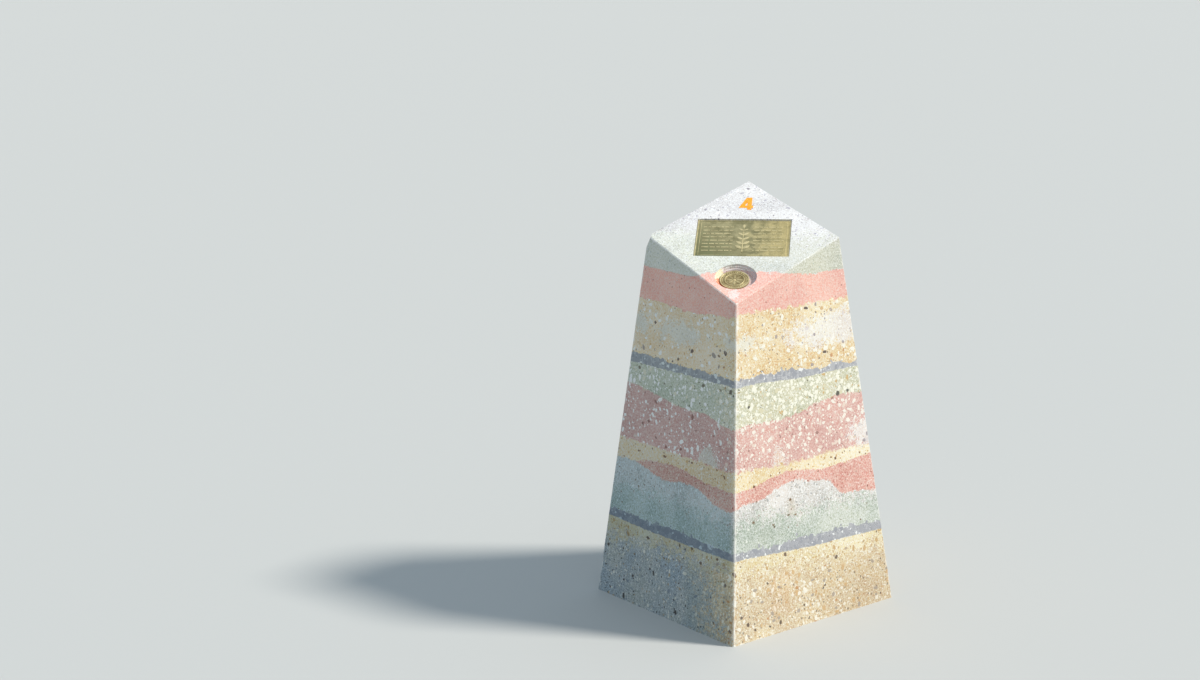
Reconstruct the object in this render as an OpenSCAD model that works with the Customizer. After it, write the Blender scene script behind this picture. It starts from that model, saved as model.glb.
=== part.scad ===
// Marker obelisk: a tapered square block cast in beds of coloured concrete, with a sloping top
// that carries a brass plaque and, in a stepped recess, a brass medallion.
// The block stands corner on: -Y is the low front corner, +X is to the right, +Z is up.
// The origin is on the ground at the centre of the square foot. Sizes are in millimetres.

/* [Block] */
// Side of the square foot
foot_w = 460; // [420:5:560]
// Side that the taper comes down to at the level of the peak
crown_w = 270; // [250:5:330]
// Fall of the sloping top towards the front corner, in degrees
top_fall = 24.5; // [20:0.5:28]
// Width of the flat worn along each edge
arris_w = 3; // [2:0.5:8]
// How far the chip takes back the left-hand top corner
chip_in = 9; // [4:1:16]
// How far the chip runs down the left-hand arris
chip_drop = 26; // [16:1:50]

/* [Beds, from the ground up] */
// Thickness of the grey foot bed
foot_grey_t = 140; // [110:5:170]
// Thickness of the buff bed over it
foot_buff_t = 35; // [25:1:60]
// Thickness of the lower slate band
lower_slate_t = 21; // [15:1:30]
// Thickness of the green bed
green_t = 52; // [35:1:70]
// Mean thickness of the grey bed
grey_t = 32; // [30:1:45]
// Mean thickness of the red seam
red_t = 37; // [32:1:60]
// Mean thickness of the ochre seam
ochre_t = 40; // [30:1:60]
// Thickness of the rose bed with white chips
rose_chip_t = 90; // [80:1:110]
// Thickness of the sage bed with white chips
sage_chip_t = 84; // [60:1:100]
// Thickness of the upper slate band
upper_slate_t = 19; // [15:1:30]
// Thickness of the buff bed with mixed chips
buff_chip_t = 121; // [112:1:140]
// Thickness of the plain rose bed
rose_t = 72; // [60:1:90]
// Thickness of the pale green bed under the white cap
cap_green_t = 42; // [25:1:60]
// Height of the peak above the pale green bed
cap_white_t = 105; // [90:1:140]

/* [Lenses of another mix in the buff chip bed] */
// Width of the white lens on the right
white_lens_w = 162; // [120:2:200]
// Height of the white lens
white_lens_h = 74; // [50:2:78]
// Middle of the white lens above the upper slate band
white_lens_up = 64; // [58:1:68]
// Middle of the white lens in from the right-hand corner
white_lens_in = 42; // [20:1:60]
// Width of the grey lens on the left
grey_lens_w = 84; // [60:2:100]
// Height of the grey lens
grey_lens_h = 50; // [30:2:60]
// Middle of the grey lens above the upper slate band
grey_lens_up = 64; // [50:1:70]
// Middle of the grey lens in from the left-hand corner
grey_lens_in = 104; // [100:1:115]
// Width of the small lens at the left-hand corner
edge_lens_w = 70; // [50:2:84]
// Height of the small lens
edge_lens_h = 34; // [20:2:44]
// Middle of the small lens above the upper slate band
edge_lens_up = 65; // [50:1:75]
// Middle of the small lens in from the left-hand corner
edge_lens_in = 7; // [0:1:12]
// Width of the lens across the front corner
arris_lens_w = 92; // [70:2:104]
// Height of the lens across the front corner
arris_lens_h = 26; // [16:2:40]
// Middle of the lens across the front corner above the upper slate band
arris_lens_up = 64; // [50:1:75]
// Middle of the lens across the front corner to the left of that corner
arris_lens_left = 3; // [0:1:8]

/* [Pockets of another mix at the foot of the rose chip bed] */
// Width of the sage pocket
sage_pocket_w = 42; // [30:2:50]
// Height of the sage pocket
sage_pocket_h = 36; // [24:2:44]
// Middle of the sage pocket to the left of the front corner
sage_pocket_left = 61; // [50:1:90]
// Width of the white pocket
white_pocket_w = 24; // [16:2:34]
// Height of the white pocket
white_pocket_h = 31; // [20:1:40]
// Middle of the white pocket to the right of the front corner
white_pocket_right = 86; // [60:1:120]
// Width of the pale pocket round the right-hand corner
corner_pocket_w = 76; // [60:2:90]
// Height of the pale pocket
corner_pocket_h = 78; // [50:2:84]
// Middle of the pale pocket above the ochre seam
corner_pocket_up = 22; // [18:1:30]

/* [Plaque] */
// Width of the plaque
plaque_w = 200; // [150:5:220]
// Height of the plaque, up the slope
plaque_h = 134; // [100:2:140]
// Thickness of the plate inside its border
plaque_t = 3; // [2:0.5:5]
// Width of the raised border
border_w = 3; // [2:0.5:8]
// How far the border stands above the plate
border_t = 1; // [0.5:0.25:1.5]
// How far the middle of the plaque lies below the middle of the slope
plaque_down = 6; // [0:1:12]
// Gap all round the plaque in its recess
plaque_gap = 1; // [0.5:0.5:2]
// How far the border lies below the concrete
plaque_sunk = 3; // [1:0.5:4]

/* [Medallion] */
// Diameter of the brass disc
disc_d = 62; // [50:1:68]
// Thickness of the disc at its rim
disc_t = 4; // [3:0.5:6]
// Width of the disc's raised rim
disc_rim_w = 3; // [2:0.5:6]
// Diameter of the inner raised ring, to its middle
ring_d = 40; // [30:1:44]
// Width of the inner raised ring
ring_w = 2; // [1:0.5:3]
// How far the disc's field lies below its rim and ring
field_sunk = 1; // [0.5:0.25:1.5]
// How far off the middle of its recess, to the left, the disc is set
disc_off = 3; // [0:0.5:4]
// Smallest gap beside the disc on the floor of the recess
disc_gap = 1; // [0.5:0.5:2]
// How far the rim of the disc lies below the concrete
disc_sunk = 7.5; // [5:0.5:12]
// Number of rings in which the recess steps down to its floor
dish_rings = 3; // [1:1:4]
// Width of each ring, half of it level and half of it flared
dish_ring_w = 3.5; // [2:0.5:4]
// How far the middle of the recess lies to the left
dish_left = 6; // [0:1:12]
// Concrete between the plaque's recess and the medallion's
recess_gap = 28; // [20:1:34]

/* [Hidden] */
// Length of the steps in which a bed's surface is drawn, and how far beyond the block it runs
step = 5;
reach = foot_w;
// Height of a lens's foot as a share of its head's
lens_foot = 0.8;
// The curved pieces are true arcs, and this many sides only where they are drawn as a mesh
$fn = 96;

// Each bed has its thickness, then the rise and fall of its upper surface about its own level:
// the crests and troughs of the wave, as [distance from the middle, rise].
BEDS = [
    [foot_grey_t, [[-300, -8], [-150, 10], [0, 0], [150, -6], [300, -14]]],
    [foot_buff_t, [[-300, 1], [-200, -2], [0, 0], [190, -13], [300, -16]]],
    [lower_slate_t, [[-300, 1], [-260, 3], [-210, 0], [-115, 4], [-45, -1], [10, 0], [95, -7],
                     [130, -1], [160, -8], [205, -7], [300, -15]]],
    [green_t, [[-300, 2], [-150, 7], [0, 0], [40, 9], [120, -8], [220, -5], [300, -11]]],
    [grey_t, [[-300, 29], [-240, 34], [-160, 14], [-105, 23], [-18, -6], [25, 8], [42, 9],
              [112, 34], [165, 20], [180, 17], [220, -22], [300, -34]]],
    [red_t, [[-300, -17], [-148, 14], [-30, -1], [5, -1], [108, 18], [178, 5], [215, 8],
             [300, 16]]],
    [ochre_t, [[-300, 1], [-100, 2], [0, 0], [120, -6], [200, -2], [300, -8]]],
    [rose_chip_t, [[-300, 34], [-250, 33], [-105, 13], [-70, 15], [-12, -3], [35, 3], [72, -1],
                   [210, 23], [300, 16]]],
    [sage_chip_t, [[-300, -5], [0, 1], [30, 1], [145, -7], [300, -7]]],
    [upper_slate_t, [[-300, 0], [-165, 2], [-145, -1], [-35, 2], [15, -1], [56, 3], [76, -1],
                     [100, 1], [172, -12], [198, -5], [232, -13], [300, -9]]],
    [buff_chip_t, [[-300, -4], [-170, -2], [-90, -7], [-45, 1], [-25, 1], [15, 8], [120, 4],
                   [300, 3]]],
    [rose_t, [[-300, -5], [-115, -6], [-55, 5], [80, 6], [148, -7], [300, -7]]],
    [cap_green_t, [[-200, -14], [0, 0], [200, -7]]],
    [cap_white_t + step, [[0, 0]]]
];
FOOT_GREY = 0;
FOOT_BUFF = 1;
LOWER_SLATE = 2;
GREEN = 3;
GREY = 4;
RED = 5;
OCHRE = 6;
ROSE_CHIP = 7;
SAGE_CHIP = 8;
UPPER_SLATE = 9;
BUFF_CHIP = 10;
ROSE = 11;
CAP_GREEN = 12;
CAP_WHITE = 13;

foot_diag = foot_w * sqrt(2);
crown_diag = crown_w * sqrt(2);
peak_h = level(CAP_GREEN) + cap_white_t;
batter = atan((foot_w - crown_w) / 2 / peak_h);
// Height at which the sloping top crosses the block's axis
slope_mid_z = peak_h - crown_diag / 2 * tan(top_fall);
// Height of the top's front corner before the edges are worn
front_z = (slope_mid_z - foot_diag / 2 * tan(top_fall))
    / (1 - (foot_diag - crown_diag) / 2 / peak_h * tan(top_fall));
plaque_deep = plaque_sunk + border_t + plaque_t;
disc_deep = disc_sunk + disc_t;
dish_floor_d = disc_d + 2 * (disc_off + disc_gap);
dish_d = dish_floor_d + (2 * dish_rings - 1) * dish_ring_w;
dish_up = -plaque_down - plaque_h / 2 - plaque_gap - recess_gap - dish_d / 2;

// Half the block's diagonal at a height, before the arrises are worn
function half_diag(z) = (foot_diag - (foot_diag - crown_diag) * z / peak_h) / 2;

// A smooth step from 0 to 1
function ease(t) = t * t * (3 - 2 * t);

// The rise of a wave at x, eased from each crest or trough to the next and flat beyond the last
function rise(wave, x, i = 0) =
    x <= wave[0][0] ? wave[0][1]
    : i == len(wave) - 1 ? wave[i][1]
    : x <= wave[i + 1][0]
        ? wave[i][1] + (wave[i + 1][1] - wave[i][1])
            * ease((x - wave[i][0]) / (wave[i + 1][0] - wave[i][0]))
    : rise(wave, x, i + 1);

// The level of a bed's upper surface, without its wave
function level(i) = i < 0 ? 0 : BEDS[i][0] + level(i - 1);

// The height of a bed's upper surface at x; a bed that pinches out has the one below as its top
function top_of(i, x) =
    i == 0 ? level(0) + rise(BEDS[0][1], x)
    : max(level(i) + rise(BEDS[i][1], x), top_of(i - 1, x));

// Everything below a bed's upper surface, as a section across the block
module below(i) {
    polygon(concat(
        [[reach, -step], [-reach, -step]],
        [for (x = [-reach : step : reach]) [x, top_of(i, x)]]
    ));
}

// One bed as a section across the block
module bed_section(i) {
    difference() {
        below(i);
        if (i > 0) below(i - 1);
    }
}

// Carries a section across the block right through it, from front to back
module through() {
    rotate([90, 0, 0]) linear_extrude(height = 2 * reach, center = true) children();
}

// A slab with two battered faces, square to X
module battered(foot, crown) {
    through() polygon([[-foot / 2, 0], [foot / 2, 0], [crown / 2, peak_h], [-crown / 2, peak_h]]);
}

// Moves to a point and turns +Z to a direction
module facing(point, way) {
    translate(point) rotate([0, acos(way[2] / norm(way)), atan2(way[1], way[0])]) children();
}

// Everything on the far side of a plane through a point
module beyond(point, way) {
    facing(point, way) translate([-reach, -reach, 0]) cube([2 * reach, 2 * reach, reach]);
}

// The flat worn along one edge of the sloping top: the face below it looks along side,
// and the edge passes through corner
module worn_top_edge(corner, side) {
    face = [side[0] * cos(batter) / norm(side), side[1] * cos(batter) / norm(side), sin(batter)];
    slope = [0, -sin(top_fall), cos(top_fall)];
    way = (face + slope) / norm(face + slope);
    turn = acos(face * slope);
    beyond(corner - way * arris_w / 2 * tan(turn / 2), way);
}

// The chip off the left-hand top corner
module corner_chip() {
    top = [-half_diag(slope_mid_z) + chip_in, 0, slope_mid_z];
    end = [-half_diag(slope_mid_z - chip_drop) + arris_w / 2, 0, slope_mid_z - chip_drop];
    run = top - end;
    beyond(end, [-run[2], 0, run[0]]);
}

// Moves to a point on the sloping top: x to the right and up the slope, with +Z out of it
module on_slope(x, up) {
    translate([0, 0, slope_mid_z]) rotate([top_fall, 0, 0]) translate([x, up, 0]) children();
}

// The shallow square-edged recess for the plaque, open at the face of the slope
module plaque_recess() {
    wide = plaque_w + 2 * plaque_gap;
    high = plaque_h + 2 * plaque_gap;
    on_slope(0, -plaque_down) translate([-wide / 2, -high / 2, -plaque_deep])
        cube([wide, high, 2 * plaque_deep]);
}

// The round recess for the medallion, which steps in ring by ring from the face to its floor
module dish() {
    ring_h = disc_deep / dish_rings;
    on_slope(-dish_left, dish_up) rotate_extrude() polygon([
        [0, -disc_deep],
        for (i = [0 : dish_rings - 1], flare = [0, 1])
            [dish_floor_d / 2 + (i + flare / 2) * dish_ring_w, (i + flare) * ring_h - disc_deep],
        [dish_d / 2, disc_deep], [0, disc_deep]
    ]);
}

// The whole cast block: four battered faces, four worn arrises, the sloping top and its recesses
module block() {
    difference() {
        intersection() {
            rotate([0, 0, 45]) battered(foot_w, crown_w);
            rotate([0, 0, -45]) battered(foot_w, crown_w);
            battered(foot_diag - arris_w, crown_diag - arris_w);
            rotate([0, 0, 90]) battered(foot_diag - arris_w, crown_diag - arris_w);
        }
        beyond([0, 0, slope_mid_z], [0, -sin(top_fall), cos(top_fall)]);
        for (side = [-1, 1]) {
            worn_top_edge([0, -half_diag(front_z), front_z], [side, -1]);
            worn_top_edge([0, crown_diag / 2, peak_h], [side, 1]);
        }
        corner_chip();
        plaque_recess();
        dish();
    }
}

// What a section across the block cuts out of it
module cast_piece() {
    intersection() {
        block();
        through() children();
    }
}

// The outline of a lens of another mix, flatter at the foot than at the head
module lens(x, z, w, h) {
    polygon([for (a = [0 : 15 : 345])
        [x + w / 2 * cos(a), z + h / 2 * sin(a) * (sin(a) > 0 ? 1 : lens_foot)]]);
}

module white_lens_section() {
    z = level(UPPER_SLATE) + white_lens_up;
    lens(half_diag(z) - white_lens_in, z, white_lens_w, white_lens_h);
}

module grey_lens_section() {
    z = level(UPPER_SLATE) + grey_lens_up;
    lens(-half_diag(z) + grey_lens_in, z, grey_lens_w, grey_lens_h);
}

module edge_lens_section() {
    z = level(UPPER_SLATE) + edge_lens_up;
    lens(-half_diag(z) + edge_lens_in, z, edge_lens_w, edge_lens_h);
}

module arris_lens_section() {
    lens(-arris_lens_left, level(UPPER_SLATE) + arris_lens_up, arris_lens_w, arris_lens_h);
}

// A pocket is what the rose chip bed holds of a lens that reaches down into the ochre seam
module pocket_section(x, up, w, h) {
    intersection() {
        bed_section(ROSE_CHIP);
        lens(x, level(OCHRE) + up, w, h);
    }
}

module sage_pocket_section() {
    pocket_section(-sage_pocket_left, 0, sage_pocket_w, 2 * sage_pocket_h);
}

module white_pocket_section() {
    pocket_section(white_pocket_right, 0, white_pocket_w, 2 * white_pocket_h);
}

module corner_pocket_section() {
    corner = half_diag(level(OCHRE) + corner_pocket_up);
    pocket_section(corner, corner_pocket_up, corner_pocket_w, corner_pocket_h);
}

module foot_grey_bed() {
    color([0.62, 0.61, 0.57]) cast_piece() bed_section(FOOT_GREY);
}

module foot_buff_bed() {
    color([0.80, 0.70, 0.50]) cast_piece() bed_section(FOOT_BUFF);
}

module lower_slate_band() {
    color([0.37, 0.39, 0.47]) cast_piece() bed_section(LOWER_SLATE);
}

module green_bed() {
    color([0.63, 0.69, 0.63]) cast_piece() bed_section(GREEN);
}

module grey_bed() {
    color([0.72, 0.74, 0.74]) cast_piece() bed_section(GREY);
}

module red_seam() {
    color([0.76, 0.47, 0.43]) cast_piece() bed_section(RED);
}

module ochre_seam() {
    color([0.82, 0.71, 0.49]) cast_piece() bed_section(OCHRE);
}

module rose_chip_bed() {
    color([0.74, 0.53, 0.50]) cast_piece() difference() {
        bed_section(ROSE_CHIP);
        sage_pocket_section();
        white_pocket_section();
        corner_pocket_section();
    }
}

module sage_chip_bed() {
    color([0.68, 0.72, 0.63]) cast_piece() bed_section(SAGE_CHIP);
}

module upper_slate_band() {
    color([0.37, 0.39, 0.47]) cast_piece() bed_section(UPPER_SLATE);
}

module buff_chip_bed() {
    color([0.79, 0.71, 0.56]) cast_piece() difference() {
        bed_section(BUFF_CHIP);
        white_lens_section();
        grey_lens_section();
        edge_lens_section();
        arris_lens_section();
    }
}

module rose_bed() {
    color([0.82, 0.55, 0.51]) cast_piece() bed_section(ROSE);
}

module cap_green_bed() {
    color([0.74, 0.78, 0.73]) cast_piece() bed_section(CAP_GREEN);
}

module cap_white_bed() {
    color([0.84, 0.85, 0.84]) cast_piece() bed_section(CAP_WHITE);
}

module white_lens() {
    color([0.82, 0.79, 0.76]) cast_piece() white_lens_section();
}

module grey_lens() {
    color([0.62, 0.65, 0.66]) cast_piece() grey_lens_section();
}

module edge_lens() {
    color([0.62, 0.65, 0.66]) cast_piece() edge_lens_section();
}

module arris_lens() {
    color([0.68, 0.69, 0.68]) cast_piece() arris_lens_section();
}

module sage_pocket() {
    color([0.64, 0.69, 0.64]) cast_piece() sage_pocket_section();
}

module white_pocket() {
    color([0.84, 0.78, 0.75]) cast_piece() white_pocket_section();
}

module corner_pocket() {
    color([0.80, 0.80, 0.80]) cast_piece() corner_pocket_section();
}

// The cast brass plate, with a raised border
module plaque() {
    inner_w = plaque_w - 2 * border_w;
    inner_h = plaque_h - 2 * border_w;
    color([0.55, 0.50, 0.28]) on_slope(0, -plaque_down)
        translate([-plaque_w / 2, -plaque_h / 2, -plaque_deep]) difference() {
            cube([plaque_w, plaque_h, plaque_t + border_t]);
            translate([border_w, border_w, plaque_t]) cube([inner_w, inner_h, 2 * border_t]);
        }
}

// The cast brass disc, turned about its axis: a raised rim, a raised ring and a field inside each
module medallion() {
    rim = disc_d / 2;
    ring = ring_d / 2;
    field = disc_t - field_sunk;
    color([0.55, 0.50, 0.28]) on_slope(-dish_left - disc_off, dish_up)
        translate([0, 0, -disc_deep]) rotate_extrude() polygon([
            [0, 0], [rim, 0], [rim, disc_t], [rim - disc_rim_w, disc_t], [rim - disc_rim_w, field],
            [ring + ring_w / 2, field], [ring + ring_w / 2, disc_t], [ring - ring_w / 2, disc_t],
            [ring - ring_w / 2, field], [0, field]
        ]);
}

foot_grey_bed();
foot_buff_bed();
lower_slate_band();
green_bed();
grey_bed();
red_seam();
ochre_seam();
rose_chip_bed();
sage_chip_bed();
upper_slate_band();
buff_chip_bed();
rose_bed();
cap_green_bed();
cap_white_bed();
white_lens();
grey_lens();
edge_lens();
arris_lens();
sage_pocket();
white_pocket();
corner_pocket();
plaque();
medallion();
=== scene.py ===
# Marker obelisk: a block of coloured concrete cast bed by bed, with a brass plaque, a brass
# medallion and a painted numeral on its sloping top. Metres, +Z up, -Y to the low front corner.
import math
import random

import bpy
from mathutils import Matrix, Vector


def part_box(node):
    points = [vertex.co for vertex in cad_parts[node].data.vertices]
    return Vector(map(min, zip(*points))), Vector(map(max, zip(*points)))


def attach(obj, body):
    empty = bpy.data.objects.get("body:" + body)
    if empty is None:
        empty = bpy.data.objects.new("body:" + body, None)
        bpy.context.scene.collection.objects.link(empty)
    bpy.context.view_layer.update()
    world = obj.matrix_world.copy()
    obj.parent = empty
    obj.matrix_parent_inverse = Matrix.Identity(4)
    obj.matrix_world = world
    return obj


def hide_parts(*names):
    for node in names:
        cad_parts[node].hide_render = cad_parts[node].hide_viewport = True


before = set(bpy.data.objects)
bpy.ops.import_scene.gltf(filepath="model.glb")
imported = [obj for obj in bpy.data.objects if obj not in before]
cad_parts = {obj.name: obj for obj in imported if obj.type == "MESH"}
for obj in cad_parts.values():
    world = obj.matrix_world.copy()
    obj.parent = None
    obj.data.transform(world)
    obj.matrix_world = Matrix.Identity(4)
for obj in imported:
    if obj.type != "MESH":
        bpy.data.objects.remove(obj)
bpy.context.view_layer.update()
bpy.ops.object.select_all(action="DESELECT")


# Studio
# A pale floor that runs past the edges of the picture, one soft lamp straight to the right, which
# lights the front and the back alike, and an even, faintly blue sky that fills the shaded faces.
def srgb(red, green, blue):
    """A colour read off a chart of 0 to 255, as the shaders take it."""
    shares = [level / 255 for level in (red, green, blue)]
    return [*(s / 12.92 if s < 0.04 else ((s + 0.055) / 1.055) ** 2.4 for s in shares), 1]


def feed(tree, term, socket):
    """Joins a socket to an input, or sets the input's own value."""
    if isinstance(term, bpy.types.NodeSocket):
        tree.links.new(term, socket)
    else:
        socket.default_value = term


def blend(tree, share, under, over, way="MIX"):
    """One colour laid over another."""
    node = tree.nodes.new("ShaderNodeMix")
    node.data_type = "RGBA"
    node.blend_type = way
    feed(tree, share, node.inputs[0])
    feed(tree, under, node.inputs[6])
    feed(tree, over, node.inputs[7])
    return node.outputs[2]


def step(tree, operation, *terms):
    """One step of arithmetic on sockets and numbers."""
    node = tree.nodes.new("ShaderNodeMath")
    node.operation = operation
    for term, socket in zip(terms, node.inputs):
        feed(tree, term, socket)
    return node.outputs[0]


def seen(tree):
    """1 for what the camera sees, by itself or in a gloss, and 0 for what only sheds light."""
    path = tree.nodes.new("ShaderNodeLightPath").outputs
    in_gloss = step(tree, "MAXIMUM", path["Is Glossy Ray"], path["Is Transmission Ray"])
    return step(tree, "MAXIMUM", path["Is Camera Ray"], in_gloss)


def new_finish(name):
    """A new material, with its nodes and its shader."""
    material = bpy.data.materials.new(name)
    material.use_nodes = True
    tree = material.node_tree
    return material, tree, tree.nodes["Principled BSDF"]


floor_side = 80
floor_pale, floor_shed = srgb(194, 194, 191), srgb(140, 138, 132)
sky_pale, sky_shed = srgb(238, 238, 236), srgb(168, 186, 201)
lamp_round = math.radians(90)
lamp_rise = math.radians(45)
lamp_angle = math.radians(10)
lamp_strength = 3.5
lamp_warm = (1, 0.965, 0.9)

bpy.ops.mesh.primitive_plane_add(size=floor_side)
floor = bpy.context.object
floor.name = "studio_floor"
floor_paint, tree, shader = new_finish("studio_floor_paint")
shader.inputs["Roughness"].default_value = 0.9
feed(tree, blend(tree, seen(tree), floor_shed, floor_pale), shader.inputs["Base Color"])
floor.data.materials.append(floor_paint)

world = bpy.data.worlds.new("studio_sky")
bpy.context.scene.world = world
world.use_nodes = True
tree = world.node_tree
feed(tree, blend(tree, seen(tree), sky_shed, sky_pale), tree.nodes["Background"].inputs["Color"])

bpy.ops.object.light_add(type="SUN")
lamp = bpy.context.object
lamp.name = "studio_lamp"
lamp.rotation_euler = (Matrix.Rotation(lamp_round, 3, "Z")
                       @ Matrix.Rotation(math.pi / 2 - lamp_rise, 3, "X")).to_euler()
lamp.data.angle = lamp_angle
lamp.data.energy = lamp_strength
lamp.data.color = lamp_warm

# The camera stands at eye height, a little to the right of the front corner, and looks down.
camera_at = Vector((0.316, -4.592, 1.692))
camera_turn, camera_dip, camera_roll = 0.1356, 0.2374, -0.0178
camera_lens = 66
bpy.ops.object.camera_add()
camera = bpy.context.object
camera.data.lens = camera_lens
camera.matrix_world = (Matrix.Translation(camera_at) @ Matrix.Rotation(camera_turn, 4, "Z")
                       @ Matrix.Rotation(math.pi / 2 - camera_dip, 4, "X")
                       @ Matrix.Rotation(camera_roll, 4, "Z"))
bpy.context.scene.camera = camera
bpy.context.scene.view_settings.view_transform = "Standard"


# Foot grey bed
# The lowest pour: a grey-beige mix of crushed limestone and pebbles, rammed into the mould and
# later ground back, so that every stone is cut flush with the face.
foot_side, crown_side = 0.460, 0.270
top_fall = math.radians(24.5)
peak = 0.890
half_foot, half_crown = foot_side / math.sqrt(2), crown_side / math.sqrt(2)
slope_middle = peak - half_crown * math.tan(top_fall)


def times(tree, first, second):
    """One term multiplied by another."""
    return step(tree, "MULTIPLY", first, second)


def times_plus(tree, first, second, third):
    """One term multiplied by another, and a third one added."""
    return step(tree, "MULTIPLY_ADD", first, second, third)


def minus(tree, first, second):
    """One term less another."""
    return step(tree, "SUBTRACT", first, second)


def span(tree, value, low, high, to_low=0.0, to_high=1.0):
    """A value carried from one range to another, and held there."""
    node = tree.nodes.new("ShaderNodeMapRange")
    for term, socket in zip((value, low, high, to_low, to_high), node.inputs):
        feed(tree, term, socket)
    return node.outputs[0]


def vector_step(tree, operation, *terms):
    """One step of arithmetic on vectors."""
    node = tree.nodes.new("ShaderNodeVectorMath")
    node.operation = operation
    for term, socket in zip(terms, node.inputs):
        feed(tree, term, socket)
    return node.outputs["Value" if operation == "DOT_PRODUCT" else "Vector"]


def noise(tree, place, grain, detail=2.0, kind=0):
    """Cloudy noise with patches of about the size of grain, as a number or as a colour."""
    node = tree.nodes.new("ShaderNodeTexNoise")
    feed(tree, place, node.inputs["Vector"])
    node.inputs["Scale"].default_value = 1 / grain
    node.inputs["Detail"].default_value = detail
    return node.outputs[kind]


def crushed_stone(tree, place, spacing, halves):
    """Stones cut by the face: blocks with clipped corners, one in each cell, of all sizes and
    turned at random. Gives how near a point is to the skin of its stone, where 1 is on the skin,
    and two numbers that are each stone's own."""
    cells = tree.nodes.new("ShaderNodeTexVoronoi")
    feed(tree, place, cells.inputs["Vector"])
    cells.inputs["Scale"].default_value = 1 / spacing
    own = tree.nodes.new("ShaderNodeSeparateColor")
    tree.links.new(cells.outputs["Color"], own.inputs[0])
    turn = tree.nodes.new("ShaderNodeVectorRotate")
    turn.rotation_type = "EULER_XYZ"
    feed(tree, vector_step(tree, "SUBTRACT", place, cells.outputs["Position"]), turn.inputs["Vector"])
    angles = vector_step(tree, "MULTIPLY", cells.outputs["Color"], (6.3, 6.3, 6.3))
    feed(tree, angles, turn.inputs["Rotation"])
    across = vector_step(tree, "ABSOLUTE", turn.outputs["Vector"])
    across = vector_step(tree, "DIVIDE", across, halves)
    sides = tree.nodes.new("ShaderNodeSeparateXYZ")
    tree.links.new(across, sides.inputs[0])
    flat = step(tree, "MAXIMUM", sides.outputs[0], sides.outputs[1])
    flat = step(tree, "MAXIMUM", flat, sides.outputs[2])
    corner = vector_step(tree, "DOT_PRODUCT", across, (0.55, 0.55, 0.55))
    size = span(tree, own.outputs[2], 0, 1, 0.6, 1.15)
    skin = step(tree, "DIVIDE", step(tree, "MAXIMUM", flat, corner), size)
    return skin, own.outputs[0], own.outputs[1]


# What every mix holds: stones, by how far apart they lie and half their length, width and depth,
# then sand, clouds and streaks, and how far its edges are worn and painted bright as a highlight
coarse_apart, coarse_halves = 0.0125, (0.0066, 0.0036, 0.0032)
fine_apart, fine_halves = 0.0058, (0.0026, 0.0019, 0.0017)
sand_apart, paste_grain, skin_grain, skin_wobble = 0.0016, 0.0034, 0.004, 0.0022
cloud_wide, mottle_wide, streak_wide, crowd_wide, ragged_wide = 0.085, 0.022, 0.006, 0.06, 0.016
arris_rub_glint, top_rub_glint, rub_glint_start, rub_glint_ragged = 0.0032, 0.0030, 0.0015, 0.0026
# arris_shift moves the pale edges onto the lit right side of each arris, and right_clear keeps them off
# the top's right edges, so they read as a painted highlight
arris_shift, right_clear = 0.0022, 0.01


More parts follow.
